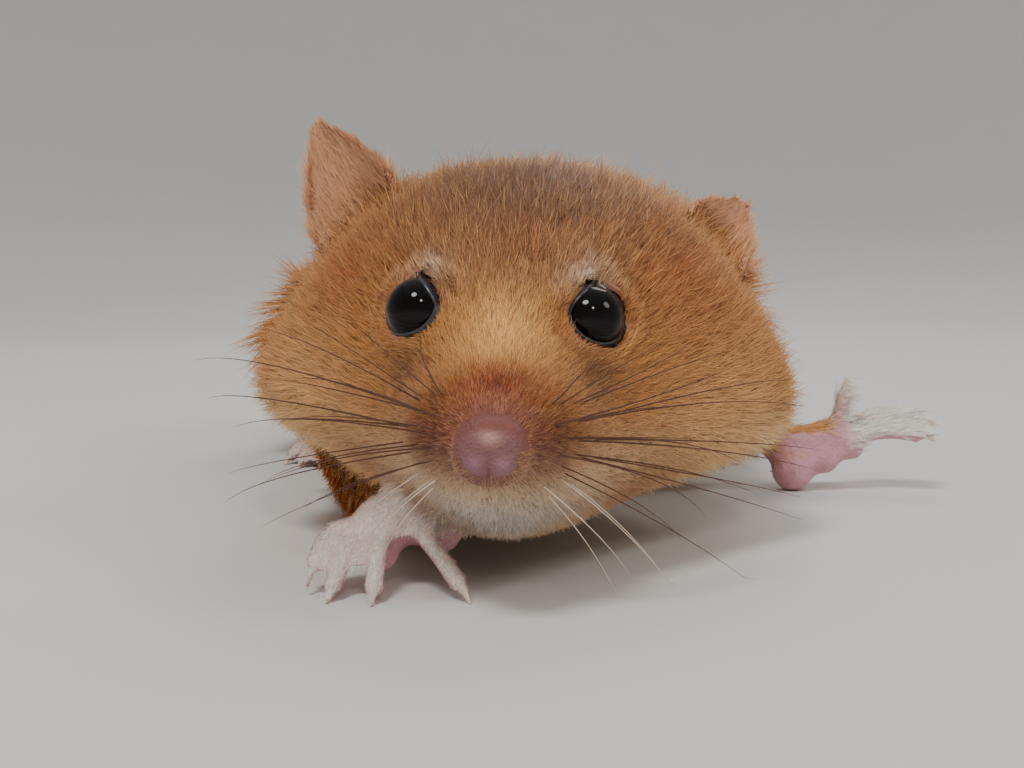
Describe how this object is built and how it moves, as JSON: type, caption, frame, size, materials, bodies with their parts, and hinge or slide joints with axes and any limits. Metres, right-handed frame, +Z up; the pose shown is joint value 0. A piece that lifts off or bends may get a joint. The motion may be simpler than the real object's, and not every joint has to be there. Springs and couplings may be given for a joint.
{
  "type": "hazel dormouse",
  "caption": "Still, life-size hazel dormouse crouching on its belly, one forepaw under its chin and the other stretched out sideways, furry tail laid out behind.",
  "frame": {"origin": "on the floor, under the middle of the belly", "axes": "+Z up, -Y the way the animal faces, +X its own left"},
  "size_m": [0.0457, 0.1356, 0.022],
  "materials": {
    "golden_fur": "short dense golden-orange fur",
    "face_fur": "short fine golden-brown fur",
    "tail_fur": "bushy golden-brown fur",
    "ear_skin": "thin skin with fine short hair",
    "bare_skin": "bare pink skin, satin",
    "eye_black": "glossy black"
  },
  "bodies": {
    "root": {"head": "face_fur", "nose": "bare_skin", "eye_left": "eye_black", "eye_right": "eye_black", "ear_left": "ear_skin", "ear_right": "ear_skin", "neck": "golden_fur", "torso": "golden_fur", "foreleg_left": "golden_fur", "foreleg_right": "golden_fur", "forepaw_left": "bare_skin", "forepaw_right": "bare_skin", "hindleg_left": "golden_fur", "hindleg_right": "golden_fur", "hindfoot_left": "bare_skin", "hindfoot_right": "bare_skin", "tail_base": "tail_fur", "tail_middle": "tail_fur", "tail_tip": "tail_fur"}
  },
  "joints": []
}
